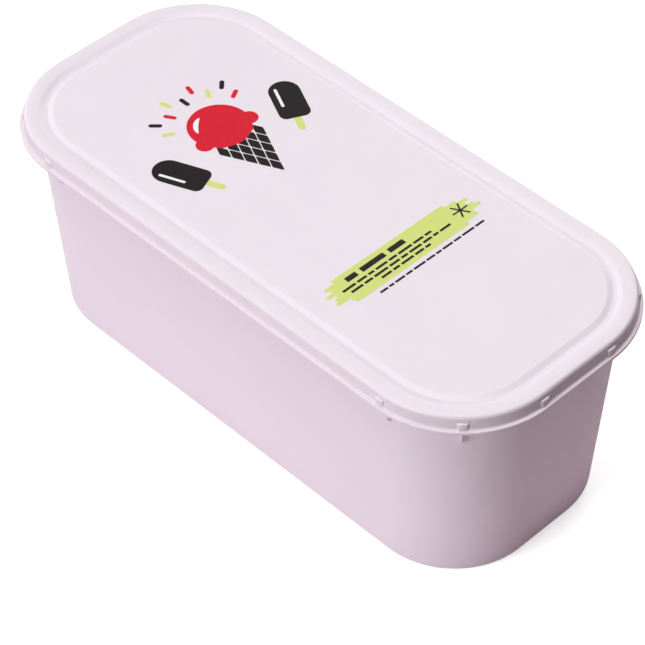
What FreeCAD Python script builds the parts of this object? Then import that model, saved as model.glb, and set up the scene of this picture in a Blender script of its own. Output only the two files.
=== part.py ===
import FreeCAD, Part

import math
import os

from FreeCAD import Rotation, Vector

os.makedirs("parts", exist_ok=True)

# Scooping tub of about five litres, shut and full: a long drafted tub with round corners, and the lid
# that caps it. Millimetres. The origin is the middle of the base, +X runs along the tub and +Z is up.
#
# Everything above the walls is concentric with the edge of the lid's lip. "Inset" is the distance from
# that edge inwards, and "radius" is the distance from the upright axis of a corner.

# Overall
LENGTH = 360.0  # along X, over the lid's lip
WIDTH = 165.0  # along Y, over the lid's lip
LIP_CORNER = 58.3  # plan radius of the lip's corners

# Tub
TUB_HEIGHT = 129.5  # from the surface to the top of the tub's rim, which carries the lid
DRAFT = 3.0  # lean of the walls, degrees
FOOT_CORNER = 48.3  # plan radius of the base's corners
FOOT_ROUND = 3.5  # rounding between the base and the walls
FLANGE_REACH = 4.8  # how far the rim stands out from the walls
FLANGE_THICK = 3.2

# Gussets that carry the tub's rim at the catches
GUSSET_THICK = 1.1
GUSSET_DROP = 17.6  # from the rim's underside to the gusset's lower corner
GUSSET_REACH = 4.4  # how far it stands out under the rim
GUSSET_STAND = 2.6  # and at its lower corner
GUSSET_ROOT = 2.0  # how far it goes into the wall

# Lid
LID_WALL = 1.6
LIP_REACH = 2.2  # from the skirt's foot to the lip's edge
LIP_THICK = 2.0
SKIRT_FLARE = 0.6  # how far the skirt spreads from its shoulder to its foot
SKIRT_DROP = 7.8  # from the rim's underside to the lip's
RIM_WIDTH = 8.1  # from the shoulder to the groove
RIM_CROWN = 0.35  # how far the rim's middle stands above its inner edge
GROOVE_DEPTH = 1.2  # below the panel
GROOVE_FLOOR = 1.8
GROOVE_BANK_RIM = 2.7  # width of the bank on the rim's side
GROOVE_BANK_PANEL = 3.0  # and on the panel's side
PANEL_DROP = 0.5  # panel below the rim's inner edge
PANEL_OVERLAP = 2.0  # width of panel that the carried section takes in

# Catches moulded on the lid's skirt
CATCH_WIDTH = 5.8
CATCH_SETBACK = 1.4  # from the lip's edge to the catch's face
CATCH_DROP = 3.2  # from the rim's inner edge down to the catch's top
CATCH_ROOT = 0.4  # how far it goes into the skirt's wall
CATCH_CORNER = 1.3  # rounding of its upright edges
CATCH_EDGE = 0.4  # rounding of its top
CATCHES = (0.0, 45.0, 90.0)  # where they stand round each corner, degrees

# Roundings of the lid's section
ROUND_PANEL = 2.0
ROUND_GROOVE = 1.5
ROUND_RIM = 3.0
ROUND_CROWN = 10.0
ROUND_SHOULDER = 2.0
ROUND_SKIRT = 0.9
ROUND_LIP = 0.45

FIT = 0.4  # clearance between the tub's rim and the lid

# Levels
RIM_EDGE_Z = TUB_HEIGHT + LID_WALL
PANEL_Z = RIM_EDGE_Z - PANEL_DROP
GROOVE_Z = PANEL_Z - GROOVE_DEPTH
LIP_Z = TUB_HEIGHT - SKIRT_DROP
FLANGE_Z = TUB_HEIGHT - FLANGE_THICK
FILL_Z = GROOVE_Z - LID_WALL - FIT

# Insets
SKIRT_FOOT = LIP_REACH
SHOULDER = SKIRT_FOOT + SKIRT_FLARE
RIM_EDGE = SHOULDER + RIM_WIDTH
GROOVE_OUTER = RIM_EDGE + GROOVE_BANK_RIM
GROOVE_INNER = GROOVE_OUTER + GROOVE_FLOOR
PANEL_EDGE = GROOVE_INNER + GROOVE_BANK_PANEL
FLANGE_EDGE = SHOULDER + LID_WALL + FIT
WALL = FLANGE_EDGE + FLANGE_REACH
SEAT = RIM_EDGE - FIT
FOOT = WALL + FLANGE_Z * math.tan(math.radians(DRAFT))

# Corner axes of the lip
AXIS_X = LENGTH / 2 - LIP_CORNER
AXIS_Y = WIDTH / 2 - LIP_CORNER
UP = Vector(0, 0, 1)


def outline(inset, corner, z):
    """A rectangle with round corners, this far inside the lip's edge."""
    half_x = LENGTH / 2 - inset
    half_y = WIDTH / 2 - inset
    edges = []
    for turn in range(4):
        side, across = (half_x, half_y) if turn % 2 == 0 else (half_y, half_x)
        start = Vector(side, corner - across, 0)
        end = Vector(side, across - corner, 0)
        middle = Vector(side, across, 0) + Vector(-1, -1, 0) * (corner * (1 - math.sqrt(0.5)))
        after = Vector(side - corner, across, 0)
        quarter = Rotation(UP, 90 * turn)
        start, end, middle, after = (quarter.multVec(point) for point in (start, end, middle, after))
        edges.append(Part.makeLine(start, end))
        edges.append(Part.Arc(end, middle, after).toShape())
    wire = Part.Wire(edges)
    wire.translate(Vector(0, 0, z))
    return wire


def prism(inset, bottom, top):
    """An upright block on an outline concentric with the lip's edge."""
    face = Part.Face(outline(inset, LIP_CORNER - inset, bottom))
    return face.extrude(UP * (top - bottom))


def section(corners):
    """A closed face in the XZ plane: X is the radius, and each corner is (inset, z, rounding)."""
    points = [Vector(LIP_CORNER - inset, 0, z) for inset, z, _ in corners]
    edges = []
    last_exit = None
    first_entry = None
    for i, (_, _, rounding) in enumerate(corners):
        here = points[i]
        before = (points[i - 1] - here).normalize()
        after = (points[(i + 1) % len(points)] - here).normalize()
        entry, exit_point = here, here
        if rounding:
            half_angle = before.getAngle(after) / 2
            reach = rounding / math.tan(half_angle)
            entry = here + before * reach
            exit_point = here + after * reach
            centre = here + (before + after).normalize() * (rounding / math.sin(half_angle))
            middle = centre + (here - centre).normalize() * rounding
        if last_exit is None:
            first_entry = entry
        else:
            edges.append(Part.makeLine(last_exit, entry))
        if rounding:
            edges.append(Part.Arc(entry, middle, exit_point).toShape())
        last_exit = exit_point
    edges.append(Part.makeLine(last_exit, first_entry))
    return Part.Face(Part.Wire(edges))


def carried(face):
    """The section carried once round the lip's corners and sides."""
    runs = []
    for side in (1, -1):
        corner = Vector(AXIS_X, side * AXIS_Y, 0)
        runs.append(face.translated(corner).revolve(corner, UP, 90 * side))
    runs.append(face.translated(Vector(AXIS_X, -AXIS_Y, 0)).extrude(Vector(0, 2 * AXIS_Y, 0)))
    crosswise = face.rotated(Vector(0, 0, 0), UP, 90).translated(Vector(-AXIS_X, AXIS_Y, 0))
    runs.append(crosswise.extrude(Vector(2 * AXIS_X, 0, 0)))
    runs += [run.rotated(Vector(0, 0, 0), UP, 180) for run in runs]
    return runs[0].multiFuse(runs[1:]).removeSplitter()


def at_stations(piece):
    """Copies of a piece made at radius along +X, one at each catch round the four corners."""
    copies = []
    for side_x in (1, -1):
        for side_y in (1, -1):
            for angle in CATCHES:
                facing = math.degrees(math.atan2(side_y * math.sin(math.radians(angle)),
                                                 side_x * math.cos(math.radians(angle))))
                turned = piece.rotated(Vector(0, 0, 0), UP, facing)
                copies.append(turned.translated(Vector(side_x * AXIS_X, side_y * AXIS_Y, 0)))
    return copies


def lid_shell():
    """Panel, groove, crowned rim, skirt and lip, of one wall."""
    inner = PANEL_EDGE + PANEL_OVERLAP
    mid_rim = (RIM_EDGE + SHOULDER) / 2
    under_lip = LIP_REACH + LID_WALL
    ring = section([
        (inner, PANEL_Z, 0),
        (PANEL_EDGE, PANEL_Z, ROUND_PANEL),
        (GROOVE_INNER, GROOVE_Z, ROUND_GROOVE),
        (GROOVE_OUTER, GROOVE_Z, ROUND_GROOVE),
        (RIM_EDGE, RIM_EDGE_Z, ROUND_RIM),
        (mid_rim, RIM_EDGE_Z + RIM_CROWN, ROUND_CROWN),
        (SHOULDER, RIM_EDGE_Z, ROUND_SHOULDER),
        (SKIRT_FOOT, LIP_Z + LIP_THICK, ROUND_SKIRT),
        (0, LIP_Z + LIP_THICK, ROUND_LIP),
        (0, LIP_Z, ROUND_LIP),
        (under_lip, LIP_Z, ROUND_LIP),
        (SHOULDER + LID_WALL, TUB_HEIGHT, 0),
        (RIM_EDGE, TUB_HEIGHT, 0),
        (GROOVE_OUTER, GROOVE_Z - LID_WALL, 0),
        (GROOVE_INNER, GROOVE_Z - LID_WALL, 0),
        (PANEL_EDGE, PANEL_Z - LID_WALL, 0),
        (inner, PANEL_Z - LID_WALL, 0),
    ])
    panel = prism(inner, PANEL_Z - LID_WALL, PANEL_Z)
    return carried(ring).fuse(panel).removeSplitter()


def catch():
    """One catch: a small block with a round front that stands on the lip against the skirt."""
    bottom = LIP_Z + LIP_THICK / 2
    top = RIM_EDGE_Z - CATCH_DROP
    face = LIP_CORNER - CATCH_SETBACK
    back = LIP_CORNER - SHOULDER - CATCH_ROOT
    block = Part.makeBox(face - back, CATCH_WIDTH, top - bottom, Vector(back, -CATCH_WIDTH / 2, bottom))
    upright = [edge for edge in block.Edges
               if all(abs(vertex.X - face) < 1e-6 for vertex in edge.Vertexes)
               and abs(edge.Vertexes[0].Y - edge.Vertexes[1].Y) < 1e-6]
    block = block.makeFillet(CATCH_CORNER, upright)
    top_edges = [edge for edge in block.Edges
                 if all(abs(vertex.Z - top) < 1e-6 for vertex in edge.Vertexes)
                 and max(vertex.X for vertex in edge.Vertexes) > back + 1e-6]
    return block.makeFillet(CATCH_EDGE, top_edges)


def lid():
    """The lid with its catches, one moulding."""
    return lid_shell().multiFuse(at_stations(catch())).removeSplitter()


def walls():
    """The drafted tub, full, from the rounded base to the rim's underside."""
    foot = outline(FOOT, FOOT_CORNER, 0)
    mouth = outline(WALL, LIP_CORNER - WALL, FLANGE_Z)
    block = Part.makeLoft([foot, mouth], True, True)
    base_edges = [edge for edge in block.Edges
                  if all(abs(vertex.Z) < 1e-6 for vertex in edge.Vertexes)]
    return block.makeFillet(FOOT_ROUND, base_edges)


def rim():
    """The tub's rim, which the lid sits on, round the level top of what the tub holds."""
    flange = prism(FLANGE_EDGE, FLANGE_Z, TUB_HEIGHT)
    return flange.cut(prism(SEAT, FILL_Z, TUB_HEIGHT))


def gusset():
    """One gusset: a thin blade between the wall and the rim's underside."""
    lower_z = FLANGE_Z - GUSSET_DROP
    lean = GUSSET_DROP * math.tan(math.radians(DRAFT))
    wall_top = LIP_CORNER - WALL
    wall_low = wall_top - lean
    points = [
        Vector(wall_low - GUSSET_ROOT, 0, FLANGE_Z),
        Vector(wall_top + GUSSET_REACH, 0, FLANGE_Z),
        Vector(wall_low + GUSSET_STAND, 0, lower_z),
        Vector(wall_low - GUSSET_ROOT, 0, lower_z - GUSSET_STAND - GUSSET_ROOT),
    ]
    blade = Part.Face(Part.makePolygon(points + points[:1]))
    return blade.translated(Vector(0, -GUSSET_THICK / 2, 0)).extrude(Vector(0, GUSSET_THICK, 0))


def tub():
    """The tub with its rim and gussets, one moulding, filled to just under the lid."""
    return walls().multiFuse([rim()] + at_stations(gusset())).removeSplitter()


for name, make in (("tub", tub), ("lid", lid)):
    solid = make()
    box = solid.optimalBoundingBox(True, False)
    print(f"{name}: {len(solid.Solids)} solid, valid {solid.isValid()}, {len(solid.Faces)} faces, "
          f"{solid.Volume / 1000:.1f} cm3, {box.XLength:.2f} x {box.YLength:.2f} x {box.ZLength:.2f} mm, "
          f"z {box.ZMin:.2f} to {box.ZMax:.2f}")
    solid.exportStep(f"parts/{name}.step")
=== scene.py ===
# %% [markdown]
# # A shut five-litre ice cream tub
#
# The object is a long scooping tub of ice cream, shut with its lid. Both are thin injection mouldings in a
# very pale lilac polypropylene: a drafted tub with round corners, and a lid with a sunk groove, a crowned
# rim, a skirt and a lip. Twelve small catches stand on the lip, and a gusset hangs under the tub's rim below
# each. A flat print in black, red and lime lies on the lid's panel.
#
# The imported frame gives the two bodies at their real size. Every piece here is a surface worked out with
# numpy, one section carried round the tub, so that the broad satin curves shade without facets.

# %% Load the frame
import math

import bpy
import numpy as np
from mathutils import Matrix, Vector


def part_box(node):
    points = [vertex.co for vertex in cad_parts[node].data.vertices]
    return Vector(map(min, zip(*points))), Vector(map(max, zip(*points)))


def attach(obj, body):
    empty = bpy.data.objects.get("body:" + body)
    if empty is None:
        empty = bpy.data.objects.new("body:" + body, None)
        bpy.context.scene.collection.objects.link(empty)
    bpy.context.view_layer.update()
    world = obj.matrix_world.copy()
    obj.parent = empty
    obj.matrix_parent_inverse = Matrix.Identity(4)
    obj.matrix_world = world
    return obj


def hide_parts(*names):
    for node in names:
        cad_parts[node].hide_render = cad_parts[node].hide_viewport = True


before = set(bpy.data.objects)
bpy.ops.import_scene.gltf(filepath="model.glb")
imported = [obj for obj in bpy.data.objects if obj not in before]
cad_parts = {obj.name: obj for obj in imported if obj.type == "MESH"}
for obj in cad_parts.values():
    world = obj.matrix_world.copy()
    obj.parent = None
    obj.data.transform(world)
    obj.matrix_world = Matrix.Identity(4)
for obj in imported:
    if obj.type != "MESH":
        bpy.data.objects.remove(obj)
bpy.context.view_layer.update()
lid_low, lid_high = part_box("lid")
tub_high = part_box("tub")[1]

# %% [markdown]
# ## Sizes
#
# Lengths below are in millimetres, as on the mould drawing, and turn to metres only when a mesh is written.
# The overall sizes come from the frame. Everything above the walls is concentric with the edge of the lid's
# lip, so each place on the section is an inset from that edge and a height.

# %% Overall sizes
MM = 0.001
half_length = lid_high.x / MM
half_width = lid_high.y / MM
lip_corner = 58.3
lip_z = lid_low.z / MM
tub_top = tub_high.z / MM
axis_x = half_length - lip_corner
axis_y = half_width - lip_corner
print(f"lip {2 * half_length:.1f} x {2 * half_width:.1f} mm, corner axes at {axis_x:.1f}, {axis_y:.1f} mm")

# %% [markdown]
# ## How a section is carried round the tub
#
# A real mould for such a tub is cut by a tool that follows the outline with one section, so the mesh is made
# the same way. The outline is walked once round, and each step says which corner axis it turns about, as a
# share of the axis's distance from the middle, and which way it faces. A lathe could only make the corners,
# and a stretched cube would lose the true arcs.

# %% The walk round the outline
corner_steps = 36
side_steps = 30
end_steps = 8


def walk():
    """Share of the corner axis along X and Y, and the facing angle, at each step of one closed walk.
    A side keeps its angle while the share runs from -1 to 1. A corner keeps its shares while the angle turns
    by a quarter."""
    shares_x, shares_y, angles = [], [], []
    for quarter in range(4):
        steps = side_steps if quarter % 2 == 0 else end_steps
        run = np.linspace(-1, 1, steps, endpoint=False)
        turn = np.linspace(0, math.pi / 2, corner_steps, endpoint=False)
        start = (quarter - 1) * math.pi / 2
        # In the turned frame a side runs along +u at v = -1, and the corner stays at u = 1, v = -1.
        u = np.concatenate([run, np.ones(corner_steps)])
        v = -np.ones(steps + corner_steps)
        c, s = round(math.cos(quarter * math.pi / 2)), round(math.sin(quarter * math.pi / 2))
        shares_x.append(c * u - s * v)
        shares_y.append(s * u + c * v)
        angles.append(start + np.concatenate([np.zeros(steps), turn]))
    return np.concatenate(shares_x), np.concatenate(shares_y), np.concatenate(angles)


share_x, share_y, facing = walk()
print(len(facing), "steps round the outline")

# %% [markdown]
# ## A section with round corners
#
# The mould drawing gives a section by its corners and the rounding of each. Here it is written the same way,
# and the roundings are worked out as true arcs. A bevel modifier would round every edge alike, while the
# rounding of a moulding differs from edge to edge: broad on the shoulder, tight on the lip.

# %% Sampling a section with round corners
arc_step = math.radians(7)


def rounded(corners):
    """Inset and height along an open section. Each corner (inset, z, rounding) becomes an arc tangent to
    its two sides: it starts and ends rounding / tan(half the corner's angle) from the corner."""
    points = [complex(inset, z) for inset, z, _ in corners]
    out = [points[0]]
    for i in range(1, len(corners) - 1):
        here, rounding = points[i], corners[i][2]
        before = (points[i - 1] - here) / abs(points[i - 1] - here)
        after = (points[i + 1] - here) / abs(points[i + 1] - here)
        if rounding == 0:
            out.append(here)
            continue
        half_angle = abs(np.angle(before / after)) / 2
        centre = here + (before + after) / abs(before + after) * rounding / math.sin(half_angle)
        first = here + before * rounding / math.tan(half_angle) - centre
        last = here + after * rounding / math.tan(half_angle) - centre
        sweep = np.angle(last / first)
        count = max(3, math.ceil(abs(sweep) / arc_step))
        out += list(centre + first * np.exp(1j * sweep * np.linspace(0, 1, count + 1)))
    out.append(points[-1])
    out = np.array(out)
    return out.real, out.imag


# %% [markdown]
# ## From points to pieces
#
# Every piece is written once from whole arrays of points and a list of faces. A shell is a grid of points,
# with a row for each step of the walk and a column for each point of the section, as a loft would give. Its
# two open ends are closed by rings that shrink to the middle of the panel and of the base, so that the broad
# flats are one surface with the rest.

# %% Writing a mesh
crisp_angle = math.radians(35)


def write_piece(name, vertices, faces, smooth=True):
    """A mesh object at the origin from vertices in millimetres. Edges over the crisp angle stay crisp."""
    mesh = bpy.data.meshes.new(name)
    mesh.from_pydata((np.asarray(vertices) * MM).tolist(), [], faces)
    mesh.validate()
    if smooth:
        mesh.shade_smooth()
        mesh.set_sharp_from_angle(angle=crisp_angle)
    piece = bpy.data.objects.new(name, mesh)
    bpy.context.scene.collection.objects.link(piece)
    print(f"{name}: {len(mesh.vertices)} vertices, {len(mesh.polygons)} faces")
    return piece


def grid_faces(rows, columns, wrap):
    """Quads of a grid whose points run row by row. With wrap, the last row joins the first."""
    row = np.arange(rows if wrap else rows - 1)[:, None]
    column = np.arange(columns - 1)[None, :]
    here = row * columns + column
    there = (row + 1) % rows * columns + column
    return np.stack([here, there, there + 1, here + 1], -1).reshape(-1, 4).tolist()


# %% A closed shell from one section
cap_rings = 5


def shell(name, radius, z, at_x, at_y):
    """A section carried once round the tub and closed at both ends. A point is its corner axis, which is the
    share of the walk times at_x and at_y, plus the radius along the facing angle. Each end of the section is
    closed by rings that shrink towards the middle."""
    columns = len(radius)
    x = share_x[:, None] * at_x + np.cos(facing)[:, None] * radius
    y = share_y[:, None] * at_y + np.sin(facing)[:, None] * radius
    height = np.broadcast_to(z, x.shape)
    body = np.stack([x, y, height], -1).reshape(-1, 3)
    faces = grid_faces(len(facing), columns, wrap=True)
    vertices = [body]
    total = len(body)
    steps = len(facing)
    for flip, column in ((False, 0), (True, columns - 1)):
        rim = np.stack([x[:, column], y[:, column], height[:, column]], -1)
        shrink = np.linspace(1, 0, cap_rings + 1)[1:-1, None, None] * np.array([1, 1, 0])
        shrink = shrink + np.array([0, 0, 1])
        rings = (rim * shrink).reshape(-1, 3)
        middle = np.array([[0, 0, rim[0, 2]]])
        vertices += [rings, middle]
        loops = [np.arange(steps) * columns + column]
        loops += [total + k * steps + np.arange(steps) for k in range(cap_rings - 1)]
        for outer, inner in zip(loops, loops[1:]):
            quads = np.stack([outer, np.roll(outer, -1), np.roll(inner, -1), inner], -1)
            faces += (quads[:, ::-1] if flip else quads).tolist()
        centre = np.full(steps, total + len(rings))
        fan = np.stack([loops[-1], np.roll(loops[-1], -1), centre], -1)
        faces += (fan[:, ::-1] if flip else fan).tolist()
        total += len(rings) + 1
    return write_piece(name, np.concatenate(vertices), faces)


# %% [markdown]
# ## The lid
#
# The lid is one wall about 1.6 mm thick. From the middle outwards its section is a flat panel, a shallow
# groove that sits just inside the tub's mouth, a rim crowned by a third of a millimetre, a rounded shoulder,
# a skirt that flares a little, and a lip that stands out at its foot. All of it is one open line from the
# top of the panel round the lip to the underside, so the shell comes out closed and of even wall.

# %% The lid's section
lid_wall = 1.6
lip_reach = 2.2
lip_thick = 2.0
skirt_flare = 0.6
rim_width = 8.1
groove_bank_rim, groove_floor, groove_bank_panel = 2.7, 1.8, 3.0
panel_drop, groove_depth, rim_crown = 0.5, 1.2, 0.35
inner_round = 0.4  # of the corners under the lid

shoulder = lip_reach + skirt_flare
rim_edge = shoulder + rim_width
groove_outer = rim_edge + groove_bank_rim
groove_inner = groove_outer + groove_floor
panel_edge = groove_inner + groove_bank_panel
panel_start = panel_edge + 2.0
rim_z = tub_top + lid_wall
panel_z = rim_z - panel_drop
groove_z = panel_z - groove_depth
crown_z = rim_z + rim_crown

lid_section = [  # inset, height and rounding of each corner
    (panel_start, panel_z, 0),
    (panel_edge, panel_z, 2.0),
    (groove_inner, groove_z, 1.5),
    (groove_outer, groove_z, 1.5),
    (rim_edge, rim_z, 3.0),
    ((rim_edge + shoulder) / 2, crown_z, 10.0),
    (shoulder, rim_z, 2.0),
    (lip_reach, lip_z + lip_thick, 0.9),
    (0, lip_z + lip_thick, 0.45),
    (0, lip_z, 0.45),
    (lip_reach + lid_wall, lip_z, 0.7),
    (shoulder + lid_wall, tub_top, inner_round),
    (rim_edge, tub_top, inner_round),
    (groove_outer, groove_z - lid_wall, inner_round),
    (groove_inner, groove_z - lid_wall, inner_round),
    (panel_edge, panel_z - lid_wall, inner_round),
    (panel_start, panel_z - lid_wall, 0),
]
lid_inset, lid_heights = rounded(lid_section)
print(len(lid_inset), "points in the lid's section, top at", round(lid_heights.max(), 2), "mm")

# %% The lid's shell
lid_shell = shell("lid_shell", lip_corner - lid_inset, lid_heights, axis_x, axis_y)
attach(lid_shell, "root")
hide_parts("lid")

# %% [markdown]
# ## The tub
#
# The walls lean three degrees, so that a stack of empty tubs comes apart, and end in a rim that stands out
# under the lid. The corners keep almost the same radius from top to bottom, which means that their axes lean
# inwards with the walls. The section therefore carries a corner radius and an axis for each of its heights.

# %% The tub's section
fit = 0.4
flange_thick = 3.2
flange_reach = 4.8
draft = math.tan(math.radians(3.0))
foot_corner = 48.3
foot_round = 3.5
flange_z = tub_top - flange_thick
flange_edge = shoulder + lid_wall + fit
wall_inset = flange_edge + flange_reach
foot_inset = wall_inset + flange_z * draft
seat_inset = rim_edge - fit
fill_z = groove_z - lid_wall - fit
mould_round = 0.3  # of the rim's edges
base_start = foot_inset + 12.0

tub_section = [  # inset, height and rounding of each corner
    (seat_inset + 6.0, fill_z, 0),
    (seat_inset, fill_z, mould_round),
    (seat_inset, tub_top, mould_round),
    (flange_edge, tub_top, mould_round),
    (flange_edge, flange_z, mould_round),
    (wall_inset, flange_z, mould_round),
    (foot_inset, 0, foot_round),
    (base_start, 0, 0),
]
tub_inset, tub_heights = rounded(tub_section)


# %% Extra levels on the walls
wall_levels = 24


def with_levels(inset, z, first, last, count):
    """The same section with its one long straight run, from point first to last, divided evenly."""
    share = np.linspace(0, 1, count + 1)[1:-1]
    extra_inset = inset[first] + (inset[last] - inset[first]) * share
    extra_z = z[first] + (z[last] - z[first]) * share
    return np.insert(inset, last, extra_inset), np.insert(z, last, extra_z)


wall_start = int(np.argmin(np.diff(tub_heights)))  # the longest way down is the wall
tub_inset, tub_heights = with_levels(tub_inset, tub_heights, wall_start, wall_start + 1, wall_levels)

# %% The tub's shell
level = np.clip(tub_heights / flange_z, 0, 1)
wall_at = foot_inset + (wall_inset - foot_inset) * level
corner_at = foot_corner + (lip_corner - wall_inset - foot_corner) * level
tub_radius = corner_at - (tub_inset - wall_at)
tub_shell = shell(
    "tub_shell",
    tub_radius,
    tub_heights,
    half_length - tub_inset - tub_radius,
    half_width - tub_inset - tub_radius,
)
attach(tub_shell, "root")
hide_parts("tub")
print(f"foot {2 * (half_length - foot_inset):.1f} x {2 * (half_width - foot_inset):.1f} mm")

# %% [markdown]
# ## Catches and gussets
#
# Where the lid snaps on, three catches stand round each corner: at the two ends of the arc and in its middle.
# Outside, each shows as a small block with a flat top and a bowed front that stands on the lip. Below it a
# thin gusset carries the tub's rim. Both are made once, facing along +X from the corner axis, and turned to
# their twelve stations by whole-array products.

# %% The twelve stations
catch_angles = np.radians([0, 45, 90])


def stations():
    """Facing angle and corner axis of each catch: the angles of one corner mirrored into the other three."""
    angle, x, y = [], [], []
    for side_x in (1, -1):
        for side_y in (1, -1):
            angle.append(np.arctan2(side_y * np.sin(catch_angles), side_x * np.cos(catch_angles)))
            x.append(np.full(len(catch_angles), side_x * axis_x))
            y.append(np.full(len(catch_angles), side_y * axis_y))
    return np.concatenate(angle), np.concatenate(x), np.concatenate(y)


def at_stations(name, points, faces, **options):
    """One piece with a copy of the points at every station, turned about the corner axis."""
    angle, x, y = stations()
    c, s = np.cos(angle)[:, None], np.sin(angle)[:, None]
    px = c * points[:, 0] - s * points[:, 1] + x[:, None]
    py = s * points[:, 0] + c * points[:, 1] + y[:, None]
    pz = np.broadcast_to(points[:, 2], px.shape)
    every = []
    for k in range(len(angle)):
        every += [[index + k * len(points) for index in face] for face in faces]
    return write_piece(name, np.stack([px, py, pz], -1).reshape(-1, 3), every, **options)


# %% The catches
catch_half = 2.9
catch_setback, catch_root, catch_drop = 1.4, 0.4, 3.2
catch_edge = 0.4
catch_bulge = 3.0  # exponent of the plan's outline: 2 is an ellipse, and more is squarer
catch_face = lip_corner - catch_setback
catch_back = lip_corner - shoulder - catch_root
catch_top = rim_z - catch_drop
catch_foot = lip_z + lip_thick / 2


def catch_points():
    """A bowed block: rings of a superellipse, rising straight up and then in over a small top rounding.
    Plan: |x / depth|^n + |y / half width|^n = 1 for the front half, closed across the back."""
    count = 24  # points round the front
    turn = np.linspace(-math.pi / 2, math.pi / 2, count)
    power = 2 / catch_bulge
    depth = catch_face - catch_back
    plan_x = np.abs(np.cos(turn)) ** power * depth
    plan_y = np.sign(np.sin(turn)) * np.abs(np.sin(turn)) ** power * catch_half
    lift = np.radians(np.array([0, 0, 20, 45, 70, 90]))
    inward = catch_edge * (1 - np.cos(lift))
    z = catch_top - catch_edge + catch_edge * np.sin(lift)
    z[0] = catch_foot
    scale_x = 1 - inward / depth
    scale_y = 1 - inward / catch_half
    x = catch_back + plan_x[None, :] * scale_x[:, None]
    y = plan_y[None, :] * scale_y[:, None]
    rings = np.stack([x, y, np.broadcast_to(z[:, None], x.shape)], -1)
    rows = len(z)
    points = rings.reshape(-1, 3)
    faces = []
    for row in range(rows - 1):
        here = row * count + np.arange(count)
        quads = np.stack([here, np.roll(here, -1), np.roll(here, -1) + count, here + count], -1)
        faces += quads.tolist()
    faces.append((np.arange(count) + (rows - 1) * count).tolist())
    faces.append(np.arange(count)[::-1].tolist())
    return points, faces


lid_catches = at_stations("lid_catches", *catch_points())
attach(lid_catches, "root")

# %% The gussets
gusset_half = 0.55
gusset_drop = 17.6
gusset_stand = 2.6
gusset_reach = 4.4
gusset_root = 2.0
wall_top_r = lip_corner - wall_inset
wall_low_r = wall_top_r - gusset_drop * draft
gusset_low = flange_z - gusset_drop
gusset_outline = np.array([
    (wall_low_r - gusset_root, flange_z),
    (wall_top_r + gusset_reach, flange_z),
    (wall_low_r + gusset_stand, gusset_low),
    (wall_low_r - gusset_root, gusset_low - gusset_stand - gusset_root),
])


def gusset_points():
    """The blade's four-cornered outline on its two faces."""
    side = np.repeat([-gusset_half, gusset_half], len(gusset_outline))
    both = np.tile(gusset_outline, (2, 1))
    points = np.stack([both[:, 0], side, both[:, 1]], -1)
    n = len(gusset_outline)
    faces = [list(range(n)), list(range(n, 2 * n))[::-1]]
    faces += [[k, k + n, (k + 1) % n + n, (k + 1) % n] for k in range(n)]
    return points, [face[::-1] for face in faces]


tub_gussets = at_stations("tub_gussets", *gusset_points(), smooth=False)
soften = tub_gussets.modifiers.new("edges", "BEVEL")
soften.width = mould_round * MM
soften.segments = 3
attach(tub_gussets, "root")

# %% [markdown]
# ## The print
#
# The lid carries a flat print in black, red and lime. Here it is a plain design of its own: a scoop on a
# waffle cone between two ice lollies, sprinkles over them, and a brushed lime band under bars that stand for
# small print. Real ink is a few hundredths of a millimetre thick. Each ink is a thin film of its own mesh, so
# its edges stay crisp at any distance, and it stands a little proud of the panel so that the two never meet.
#
# The design is drawn for someone at the +X end of the lid: right is +Y and up is -X. A point of it is a
# complex number, right + i up, in millimetres.

# %% Films of ink
ink_film = 0.05  # height of the lowest layer over the panel
ink_step = 0.04  # from each layer to the next
ink_depth = 0.12  # of each film, downwards


def on_lid(points, layer):
    """Drawing points laid on the panel, each layer a step above the last."""
    points = np.asarray(points)
    z = np.full(points.shape, panel_z + ink_film + ink_step * layer)
    return np.stack([-points.imag, points.real, z], -1)


def disc_fan(outline, middle):
    """Points and faces of a shape seen whole from its middle: the middle, then its outline."""
    count = len(outline)
    rim = np.arange(1, count + 1)
    faces = np.stack([np.zeros(count, int), rim, np.roll(rim, -1)], -1).tolist()
    return np.concatenate([[middle], outline]), faces


def ribbon_grid(lower, upper, rows=3):
    """Points and faces between two curves with the same number of points."""
    share = np.linspace(0, 1, rows)[None, :]
    points = lower[:, None] * (1 - share) + upper[:, None] * share
    return points.ravel(), grid_faces(len(lower), rows, wrap=False)


def ink(name, shapes):
    """One mesh from (points, faces, layer) shapes, thickened downwards into the panel."""
    vertices, faces, total = [], [], 0
    for points, shape_faces, layer in shapes:
        vertices.append(on_lid(points, layer))
        faces += [[index + total for index in face] for face in shape_faces]
        total += len(points)
    piece = write_piece(name, np.concatenate(vertices), faces, smooth=False)
    film = piece.modifiers.new("film", "SOLIDIFY")
    film.thickness = ink_depth * MM
    film.offset = -1
    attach(piece, "root")
    return piece


# %% Outlines
def union_outline(centres, radii, count=240):
    """Outline of a cluster of discs round the origin: along each ray, the farthest crossing of any disc."""
    ray = np.exp(1j * np.linspace(0, 2 * math.pi, count, endpoint=False))[:, None]
    along = (np.conj(ray) * centres).real
    under = radii**2 - np.abs(centres) ** 2 + along**2
    reach = np.where(under >= 0, along + np.sqrt(np.maximum(under, 0)), 0)
    return ray[:, 0] * reach.max(1)


def pill(length, width, angle, count=10):
    """A bar with round ends, turned to an angle."""
    half = np.linspace(-math.pi / 2, math.pi / 2, count)
    end = (length - width) / 2 + width / 2 * np.exp(1j * half)
    return np.concatenate([end, -end]) * np.exp(1j * angle)


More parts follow.
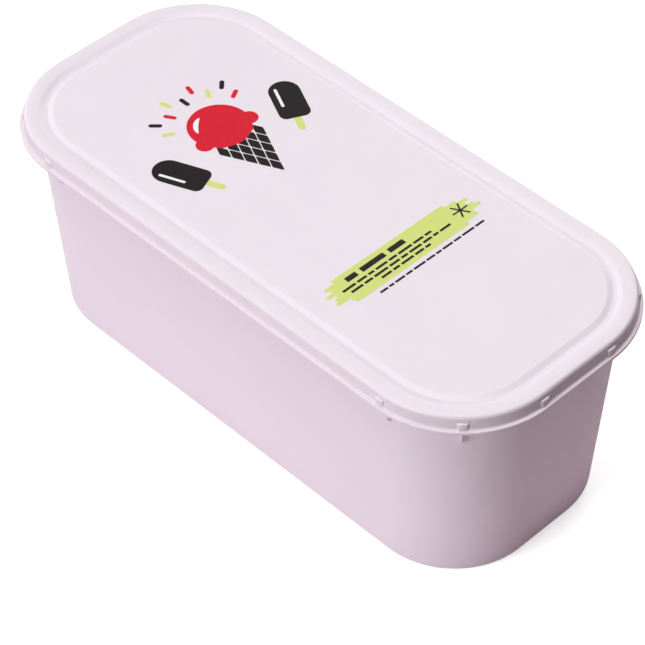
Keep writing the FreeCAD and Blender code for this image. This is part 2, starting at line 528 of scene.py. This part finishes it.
def lozenge(half_w, half_h, power=1.08, count=40):
    """A diamond with slightly soft corners: |x / w|^p + |y / h|^p = 1."""
    t = np.linspace(0, 2 * math.pi, count, endpoint=False)
    x = np.sign(np.cos(t)) * np.abs(np.cos(t)) ** (2 / power) * half_w
    y = np.sign(np.sin(t)) * np.abs(np.sin(t)) ** (2 / power) * half_h
    return x + 1j * y


def bar(left, right, middle, height):
    """A plain rectangle from left to right."""
    return np.array([left, right, right, left]) + 1j * (middle + height / 2 * np.array([-1, -1, 1, 1]))


def whole(outline, layer=0):
    """A shape seen whole from the mean of its outline, ready for an ink."""
    return (*disc_fan(outline, outline.mean()), layer)


# %% The scoop and the cone
scoop_at = 76j
scoop_r, hem_r = 17.5, 5.0
hem = np.array([-16 - 6j, -8.4 - 10j, 0 - 12j, 8.4 - 10j, 16 - 6j])  # middles of the five drips
scoop = scoop_at + union_outline(np.append(hem, 0), np.array([hem_r] * len(hem) + [scoop_r]))

cone_rows = 5
cell_w, cell_h = 6.4, 13.4
cell_fill = 0.86  # of a cell's pitch, the rest being the line between cells
cone_at = scoop_at - 17j
cells = []
for row in range(cone_rows):
    for column in range(cone_rows - row):
        right = (column - (cone_rows - row - 1) / 2) * cell_w
        cells.append(cone_at + right - 1j * row * cell_h / 2)
print(len(cells), "cells in the cone")

# %% The two lollies
lolly_long, lolly_wide = 31.0, 17.5
lolly_corner = 4.2
stick_long, stick_wide = 13.0, 4.0
stick_hidden = 2.5  # its length under the ice
glint_long, glint_wide = lolly_long * 0.5, 1.7
glint_at = 2.5 + 4.4j  # from the ice's middle
lollies = [(-41.0 + 62j, math.radians(112)), (41.0 + 66j, math.radians(64))]


def lolly(middle, angle):
    """Outline of the ice, a bar with a round top and a squarer foot, of the stick below it and of the glint
    on it. Each quarter of the ice is an arc of its own radius, half the width at the top."""
    radii = np.array([lolly_wide / 2, lolly_wide / 2, lolly_corner, lolly_corner])
    first_facing = np.array([-1j, 1, 1j, -1])
    reach_x = np.array([1, 1, -1, -1]) * lolly_long / 2
    reach_y = np.array([-1, 1, 1, -1]) * lolly_wide / 2
    centre = (reach_x - np.sign(reach_x) * radii) + 1j * (reach_y - np.sign(reach_y) * radii)
    arc = np.exp(1j * np.linspace(0, math.pi / 2, 14))
    ice = (centre[:, None] + radii[:, None] * first_facing[:, None] * arc).ravel()
    stick = pill(stick_long, stick_wide, 0) - (lolly_long / 2 + stick_long / 2 - stick_hidden)
    glint = pill(glint_long, glint_wide, 0) + glint_at
    turned = np.exp(1j * angle)
    return middle + ice * turned, middle + stick * turned, middle + glint * turned


# %% Sprinkles over the scoop
sprinkle_long, sprinkle_wide = 7.4, 2.6
near_row, far_row = 27.5, 34.0
fan_angles = np.radians(np.arange(30, 151, 15))
sprinkles = []
for k, angle in enumerate(fan_angles):
    middle = scoop_at + (near_row, far_row)[k % 2] * np.exp(1j * angle)
    sprinkles.append((middle + pill(sprinkle_long, sprinkle_wide, angle), k % 3))

# %% The brushed band and the bars on it
band_at = -60.0
band_reach, band_ragged, band_curve = 47.0, 8.0, 0.12
mark_count, mark_wide, mark_overlap = 9, 2.2, 0.1
golden = (math.sqrt(5) - 1) / 2


def uneven(count, seed):
    """Numbers from 0 to 1 that look unordered: the fractions of the golden ratio's multiples."""
    return (np.arange(count) + seed) * golden % 1


mark_up = (np.arange(mark_count) - (mark_count - 1) / 2) * mark_wide
mark_left = -band_reach - band_ragged * uneven(mark_count, 1) + band_curve * mark_up**2
mark_right = band_reach + band_ragged * uneven(mark_count, 5) - band_curve * mark_up**2
marks = [
    (left + right) / 2 + 1j * (band_at + up) + pill(right - left, mark_wide + mark_overlap, 0)
    for left, right, up in zip(mark_left, mark_right, mark_up)
]

bar_rows = [  # left, right, height above the band's middle, and height of the bars
    (-36.0, 24.0, 5.0, 3.4),
    (-43.0, 30.0, 0.2, 1.5),
    (-40.0, 34.0, -3.0, 1.5),
    (-22.0, 14.0, -6.2, 1.5),
    (-30.0, 47.0, -13.2, 1.3),
]
bar_least, bar_spread, bar_gap = 2.2, 4.4, 0.9  # lengths and gap, for each millimetre of height
bars = []
for row, (left, right, up, height) in enumerate(bar_rows):
    lengths = height * (bar_least + bar_spread * uneven(40, 3 * row))
    starts = left + np.concatenate([[0], np.cumsum(lengths + bar_gap * height)])[:-1]
    for start, length in zip(starts, lengths):
        if start + length <= right:
            bars.append(bar(start, start + length, band_at + up, height))
print(len(bars), "bars of small print")

flake_at = 42.0 + 1j * (band_at + 0.6)
flake_arm, flake_line = 11.0, 1.0

# %% The inks' meshes
shine_r, shine_half = 12.6, 1.4
shine_arc = np.exp(1j * np.radians(np.linspace(105, 165, 24)))
shine_wide = shine_half * np.sin(np.linspace(0, math.pi, 24)) ** 0.6
shine_inner = scoop_at + (shine_r - shine_wide) * shine_arc
shine_outer = scoop_at + (shine_r + shine_wide) * shine_arc
shine = (*ribbon_grid(shine_inner, shine_outer), 2)

red_shapes = [whole(scoop, 1)]
waffle = lozenge(cell_w / 2 * cell_fill, cell_h / 2 * cell_fill)
black_shapes = [whole(cell + waffle) for cell in cells]
lime_shapes = [whole(mark, 0.25 * (k % 2)) for k, mark in enumerate(marks)]
white_shapes = [shine]
for middle, angle in lollies:
    ice, stick, glint = lolly(middle, angle)
    black_shapes.append(whole(ice, 1))
    lime_shapes.append(whole(stick))
    white_shapes.append(whole(glint, 2))
for outline, colour in sprinkles:
    (red_shapes, black_shapes, lime_shapes)[colour].append(whole(outline))
black_shapes += [whole(outline, 1) for outline in bars]
for arm in range(3):
    line = flake_at + pill(flake_arm, flake_line, arm * math.pi / 3)
    black_shapes.append(whole(line, 1 + arm / 2))

print_red = ink("print_red", red_shapes)
print_black = ink("print_black", black_shapes)
print_lime = ink("print_lime", lime_shapes)
print_white = ink("print_white", white_shapes)

# %% [markdown]
# ## Materials
#
# Colours are written as sRGB hex and turned to linear once. Patterns read Object coordinates, in metres, and
# their scales come from real sizes in millimetres.


# %% Colour and node helpers
def linear(hex_colour):
    """Linear RGB of an sRGB hex colour."""
    srgb = np.array([int(hex_colour[k : k + 2], 16) for k in (1, 3, 5)]) / 255
    rgb = np.where(srgb <= 0.04045, srgb / 12.92, ((srgb + 0.055) / 1.055) ** 2.4)
    return (*rgb.tolist(), 1.0)


def add(tree, kind, inputs=None, **settings):
    """Adds a node. Settings are its properties, and inputs gives each socket a value or an output to link."""
    made = tree.nodes.new(kind)
    for key, value in settings.items():
        setattr(made, key, value)
    for key, value in (inputs or {}).items():
        if isinstance(value, bpy.types.NodeSocket):
            tree.links.new(value, made.inputs[key])
        else:
            made.inputs[key].default_value = value
    return made


def new_material(name):
    """An empty node material and its tree."""
    material = bpy.data.materials.new(name)
    material.use_nodes = True
    material.node_tree.nodes.clear()
    return material, material.node_tree


# %% [markdown]
# ### Polypropylene, injection moulded, satin
#
# The tub and the lid are one resin, filled with a little white pigment. The mould is spark-eroded to a fine
# satin, which gives a broad soft sheen and no sharp reflections. Thin walls let light in a short way, so
# shadow edges are soft and slightly warm. The eye also finds faint flow clouds, tens of millimetres across,
# where the sheen changes, and a very shallow waviness left by uneven cooling. All three are noise at their
# real sizes, because a moulding has no weave or line that a regular pattern could follow.

# %% Polypropylene
cloud_size = 45.0
grain_size = 0.55  # the real grain is near 0.05 mm, too fine to show, so it is drawn coarser
ripple_size = 70.0


def moulded_polypropylene(name, tint, clouded, roughness):
    """Satin polypropylene: tint and a slightly clouded tint, with the grain and waviness of the mould."""
    material, tree = new_material(name)
    place = add(tree, "ShaderNodeTexCoord").outputs["Object"]
    clouds = add(tree, "ShaderNodeTexNoise",
                 {"Vector": place, "Scale": 1 / (cloud_size * MM), "Detail": 3.0, "Roughness": 0.55})
    grain = add(tree, "ShaderNodeTexNoise",
                {"Vector": place, "Scale": 1 / (grain_size * MM), "Detail": 2.0, "Roughness": 0.6})
    ripple = add(tree, "ShaderNodeTexNoise",
                 {"Vector": place, "Scale": 1 / (ripple_size * MM), "Detail": 1.0, "Roughness": 0.4})
    colour = add(tree, "ShaderNodeMix",
                 {"Factor": clouds.outputs["Fac"], "A": linear(tint), "B": linear(clouded)},
                 data_type="RGBA")
    gloss = add(tree, "ShaderNodeMapRange",
                {"Value": clouds.outputs["Fac"], "To Min": roughness - 0.04, "To Max": roughness + 0.05})
    fine = add(tree, "ShaderNodeBump",
               {"Height": grain.outputs["Fac"], "Strength": 0.12, "Distance": 0.02 * MM})
    broad = add(tree, "ShaderNodeBump",
                {"Height": ripple.outputs["Fac"], "Strength": 0.3, "Distance": 0.35 * MM,
                 "Normal": fine.outputs["Normal"]})
    surface = add(tree, "ShaderNodeBsdfPrincipled",
                  {"Base Color": colour.outputs["Result"], "Roughness": gloss.outputs["Result"],
                   "Normal": broad.outputs["Normal"], "IOR": 1.49, "Subsurface Weight": 0.15,
                   "Subsurface Radius": (1.0, 0.62, 0.72), "Subsurface Scale": 2.0 * MM})
    add(tree, "ShaderNodeOutputMaterial", {"Surface": surface.outputs["BSDF"]})
    return material


lid_plastic = moulded_polypropylene("polypropylene_satin_lid", "#EFE0EA", "#F1E3ED", 0.42)
tub_plastic = moulded_polypropylene("polypropylene_satin_tub", "#ECE1ED", "#EFE5EF", 0.46)

# %% [markdown]
# ### Offset ink on polypropylene
#
# The print is cured offset ink: thin, dense and matt, with less sheen than the satin round it. The rollers
# leave a fine mottle, just under a millimetre across, where the film is a little thinner and paler. Each ink
# is a material of its own, because on the real press each is a plate of its own.

# %% Ink
mottle_size = 0.9
ink_roughness = 0.5
ink_sheen = 0.25  # half of a clear film's, because dense pigment dulls it


def offset_ink(name, solid, thin):
    """Printed ink: a solid colour that thins out a little in a fine mottle."""
    material, tree = new_material(name)
    place = add(tree, "ShaderNodeTexCoord").outputs["Object"]
    mottle = add(tree, "ShaderNodeTexNoise",
                 {"Vector": place, "Scale": 1 / (mottle_size * MM), "Detail": 3.0, "Roughness": 0.65})
    share = add(tree, "ShaderNodeMapRange",
                {"Value": mottle.outputs["Fac"], "From Min": 0.35, "From Max": 0.75})
    colour = add(tree, "ShaderNodeMix",
                 {"Factor": share.outputs["Result"], "A": linear(solid), "B": linear(thin)},
                 data_type="RGBA")
    gloss = add(tree, "ShaderNodeMapRange",
                {"Value": mottle.outputs["Fac"],
                 "To Min": ink_roughness - 0.05, "To Max": ink_roughness + 0.08})
    surface = add(tree, "ShaderNodeBsdfPrincipled",
                  {"Base Color": colour.outputs["Result"], "Roughness": gloss.outputs["Result"],
                   "Specular IOR Level": ink_sheen})
    add(tree, "ShaderNodeOutputMaterial", {"Surface": surface.outputs["BSDF"]})
    return material


inks = {
    print_red: offset_ink("offset_ink_red", "#D80A28", "#DC2038"),
    print_black: offset_ink("offset_ink_black", "#170E11", "#1F1518"),
    print_lime: offset_ink("offset_ink_lime", "#D3DB78", "#D8DF88"),
    print_white: offset_ink("offset_ink_white", "#F7F1F5", "#F1EAEF"),
}

# %% Each piece gets its material
for piece, material in inks.items():
    piece.data.materials.append(material)
for piece in (lid_shell, lid_catches):
    piece.data.materials.append(lid_plastic)
for piece in (tub_shell, tub_gussets):
    piece.data.materials.append(tub_plastic)

# %% [markdown]
# ## Floor
#
# The tub stands on a round table of matt white paper. The light that the paper throws up the walls is made
# slightly pink, because the shade on such plastic is warmer than its lit side. Seen by the camera, the paper
# is lifted to white, and it keeps a pale shadow.

# %% Floor
table_radius = 0.42  # metres
table_glow = 0.62  # how far the camera sees the paper lifted
table_rim = table_radius * np.exp(1j * np.linspace(0, 2 * math.pi, 96, endpoint=False))
floor_mesh = bpy.data.meshes.new("floor")
floor_mesh.from_pydata([(p.real, p.imag, 0) for p in table_rim], [], [list(range(len(table_rim)))])
floor = bpy.data.objects.new("floor", floor_mesh)
bpy.context.scene.collection.objects.link(floor)


def white_table():
    """Matt white paper. The camera sees it lifted to white where it is fully lit, and its shadow stays."""
    material, tree = new_material("paper_matt_white")
    seen = add(tree, "ShaderNodeLightPath").outputs["Is Camera Ray"]
    colour = add(tree, "ShaderNodeMix",
                 {"Factor": seen, "A": linear("#F5E0E8"), "B": linear("#F4F4F4")}, data_type="RGBA")
    paper = add(tree, "ShaderNodeBsdfDiffuse", {"Color": colour.outputs["Result"]})
    lift = add(tree, "ShaderNodeMath", {0: seen, 1: table_glow}, operation="MULTIPLY")
    glow = add(tree, "ShaderNodeEmission", {"Strength": lift.outputs["Value"]})
    both = add(tree, "ShaderNodeAddShader", {0: paper.outputs["BSDF"], 1: glow.outputs["Emission"]})
    add(tree, "ShaderNodeOutputMaterial", {"Surface": both.outputs["Shader"]})
    return material


floor.data.materials.append(white_table())

# %% [markdown]
# ## World and lamps
#
# The studio is dim, with a faint warm light from all round, and its backdrop is white to the camera. Four
# softboxes make the light. The main one hangs straight over the tub, long across it. Three square ones stand
# low: a bright one at the long side that faces -Y, and dimmer ones at the far end and on the +Y side. The near
# end gets little but the table's own bounce, so it turns into a warm shade, lighter towards the table.

# %% World
fill_colour, fill_strength = (1.0, 0.6, 0.6, 1.0), 0.058
world = bpy.data.worlds.new("studio")
bpy.context.scene.world = world
world.use_nodes = True
world.node_tree.nodes.clear()
sky = world.node_tree
path = add(sky, "ShaderNodeLightPath")
seen = add(sky, "ShaderNodeMath",
           {0: path.outputs["Is Camera Ray"], 1: path.outputs["Is Transmission Ray"]}, operation="MAXIMUM")
fill = add(sky, "ShaderNodeBackground", {"Color": fill_colour, "Strength": fill_strength})
white = add(sky, "ShaderNodeBackground", {"Color": (1.0, 1.0, 1.0, 1.0), "Strength": 1.0})
mixed = add(sky, "ShaderNodeMixShader",
            {0: seen.outputs["Value"], 1: fill.outputs["Background"], 2: white.outputs["Background"]})
add(sky, "ShaderNodeOutputWorld", {"Surface": mixed.outputs["Shader"]})

# %% Lamps
lamp_colour = (0.94, 1.0, 0.985)  # linear, and a little cool


def softbox(name, azimuth, elevation, distance, across, along, power):
    """A rectangular soft lamp aimed at the tub's middle. Its azimuth and elevation are in degrees, from +X
    towards +Y and up. Its distance and sides are in metres, and its power in watts."""
    data = bpy.data.lights.new(name, "AREA")
    data.shape = "RECTANGLE"
    data.size, data.size_y = across, along
    data.energy = power
    data.color = lamp_colour
    lamp = bpy.data.objects.new(name, data)
    a, e = math.radians(azimuth), math.radians(elevation)
    towards = Vector((math.cos(a) * math.cos(e), math.sin(a) * math.cos(e), math.sin(e)))
    lamp.location = Vector((0, 0, tub_high.z / 2)) + towards * distance
    lamp.rotation_euler = towards.to_track_quat("Z", "Y").to_euler()
    bpy.context.scene.collection.objects.link(lamp)
    return lamp


over = softbox("over", 180, 89, 1.735, 2.2, 0.8, 23.1)  # 89 and not 90 keeps its long side along Y
side = softbox("side", 266, 27, 2.2, 1.0, 1.0, 26.0)
end = softbox("end", 180, 12, 2.2, 1.0, 1.0, 12.4)
rear = softbox("rear", 115, 20, 2.2, 1.0, 1.0, 14.2)
for lamp in (over, side, end, rear):
    print(lamp.name, [round(v, 2) for v in lamp.location], "m,", lamp.data.energy, "W")

# %% [markdown]
# ## Camera
#
# A long lens about a metre and a half away looks down on the near corner at 45 degrees. The long wall, the
# near end and the whole lid show, with little perspective.

# %% Camera
azimuth, elevation, roll = (math.radians(v) for v in (45.75, 44.75, -0.456))
distance = 1465.05 * MM
aim_right, aim_up = 0.48 * MM, 26.59 * MM
back = Vector((
    math.sin(azimuth) * math.cos(elevation),
    -math.cos(azimuth) * math.cos(elevation),
    math.sin(elevation),
))
level_right = Vector((math.cos(azimuth), math.sin(azimuth), 0))
level_up = back.cross(level_right)
right = level_right * math.cos(roll) + level_up * math.sin(roll)
up = level_up * math.cos(roll) - level_right * math.sin(roll)
place = back * distance + right * aim_right + up * aim_up

camera_data = bpy.data.cameras.new("camera")
camera_data.sensor_width = 36.0
camera_data.lens = 148.8
camera = bpy.data.objects.new("camera", camera_data)
camera.matrix_world = Matrix.Translation(place) @ Matrix((right, up, back)).transposed().to_4x4()
bpy.context.scene.collection.objects.link(camera)
bpy.context.scene.camera = camera
bpy.context.scene.view_settings.view_transform = "Standard"
print("camera at", [round(v, 3) for v in place])
